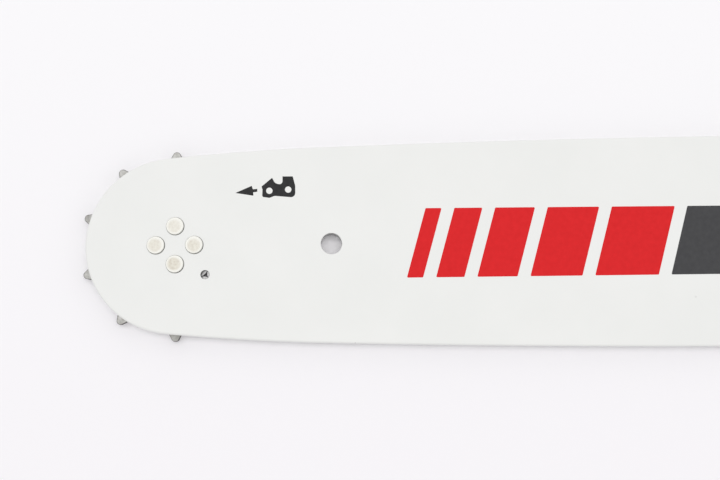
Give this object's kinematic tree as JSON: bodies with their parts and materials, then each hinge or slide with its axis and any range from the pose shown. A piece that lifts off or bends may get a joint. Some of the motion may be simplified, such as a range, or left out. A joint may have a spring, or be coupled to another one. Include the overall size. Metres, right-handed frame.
{
  "type": "chainsaw guide bar",
  "caption": "Flat steel guide bar for a chainsaw, with a chain groove along its edges, a toothed wheel that turns in the rounded nose and a stud slot at the tail.",
  "frame": {"origin": "middle of the stud slot at the tail, on the underside of the lower side plate", "axes": "+Y from the nose to the tail along the middle line, +Z out of the upper side plate, with the bar lying flat"},
  "size_m": [0.0538, 0.4653, 0.0051],
  "materials": {
    "white_paint": "smooth satin coat",
    "core_steel": "rolled sheet",
    "wheel_steel": "ground and hardened",
    "bearing_steel": "polished",
    "rivet_steel": "ground, bare"
  },
  "bodies": {
    "bar": {"side_plate_top": "white_paint", "side_plate_bottom": "white_paint", "core_plate": "core_steel", "bearing_race": "bearing_steel", "nose_rivets": "rivet_steel"},
    "sprocket": {"nose_sprocket": "wheel_steel"},
    "roller_ring": {"bearing_roller_01": "bearing_steel", "bearing_roller_02": "bearing_steel", "bearing_roller_03": "bearing_steel", "bearing_roller_04": "bearing_steel", "bearing_roller_05": "bearing_steel", "bearing_roller_06": "bearing_steel", "bearing_roller_07": "bearing_steel", "bearing_roller_08": "bearing_steel", "bearing_roller_09": "bearing_steel", "bearing_roller_10": "bearing_steel", "bearing_roller_11": "bearing_steel", "bearing_roller_12": "bearing_steel", "bearing_roller_13": "bearing_steel", "bearing_roller_14": "bearing_steel", "bearing_roller_15": "bearing_steel", "bearing_roller_16": "bearing_steel", "bearing_roller_17": "bearing_steel", "bearing_roller_18": "bearing_steel", "bearing_roller_19": "bearing_steel", "bearing_roller_20": "bearing_steel", "bearing_roller_21": "bearing_steel", "bearing_roller_22": "bearing_steel"}
  },
  "joints": [
    {"name": "sprocket_spin", "type": "hinge", "parent": "bar", "child": "sprocket", "pos_m": [0, -0.4, 0.00225], "axis": [0, 0, 1], "continuous": true},
    {"name": "roller_orbit", "type": "hinge", "parent": "bar", "child": "roller_ring", "pos_m": [0, -0.4, 0.00225], "axis": [0, 0, 1], "continuous": true}
  ],
  "couplings": [
    {"joint": "roller_orbit", "follows": "sprocket_spin", "ratio": 0.57031}
  ]
}
